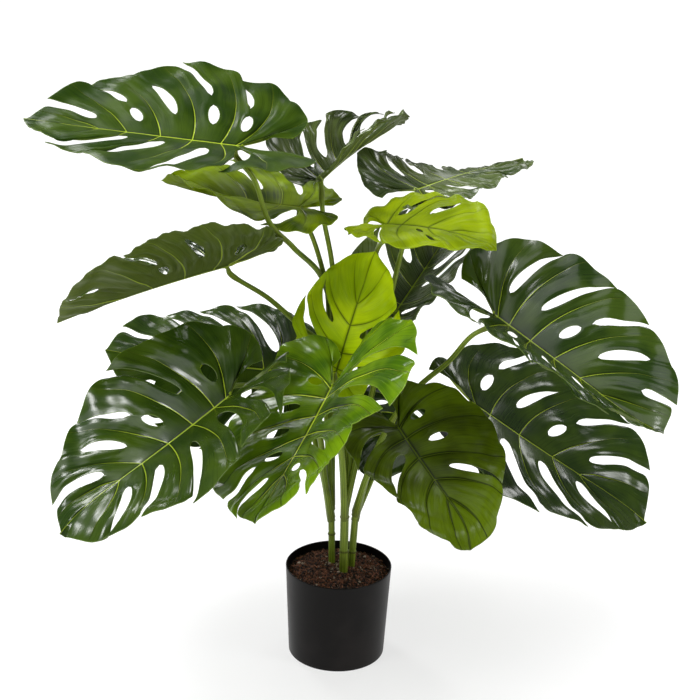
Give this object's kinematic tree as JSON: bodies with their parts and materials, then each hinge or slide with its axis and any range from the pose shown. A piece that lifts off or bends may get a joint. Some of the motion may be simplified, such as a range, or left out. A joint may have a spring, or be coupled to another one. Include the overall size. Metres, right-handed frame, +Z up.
{
  "type": "potted split-leaf philodendron",
  "caption": "Upright split-leaf house plant: deeply cut heart-shaped leaves on long arching stalks from short canes, standing in a plain round tapered pot of soil.",
  "frame": {"origin": "centre of the pot's flat foot, on the surface that the pot stands on", "axes": "+Z up out of the pot, +X to the right of a viewer in front, -Y towards that viewer"},
  "size_m": [0.8725, 0.6528, 0.8203],
  "materials": {
    "pot": "matte black moulded plastic",
    "soil": "dry dark brown potting crumbs",
    "stem": "smooth light olive green, faintly striped along its length",
    "leaf_dark": "satin deep green with yellow-green veins",
    "leaf_olive": "satin olive green with dark vein grooves",
    "leaf_middle": "satin mid green with yellow veins",
    "leaf_young": "satin yellow-green with darker veins"
  },
  "bodies": {
    "root": {"pot": "pot", "soil": "soil", "stem_left": "stem", "stem_middle": "stem", "stem_right": "stem", "leaf_top_left": "leaf_dark", "leaf_top_middle": "leaf_dark", "leaf_top_right": "leaf_dark", "leaf_young_right": "leaf_young", "leaf_young_left": "leaf_young", "leaf_side_left": "leaf_dark", "leaf_low_left_back": "leaf_dark", "leaf_low_left_front": "leaf_dark", "leaf_young_upright": "leaf_young", "leaf_front": "leaf_middle", "leaf_low_right_front": "leaf_olive", "leaf_side_right": "leaf_dark", "leaf_low_right": "leaf_dark", "leaf_back": "leaf_dark", "leaf_inner": "leaf_dark"}
  },
  "joints": []
}
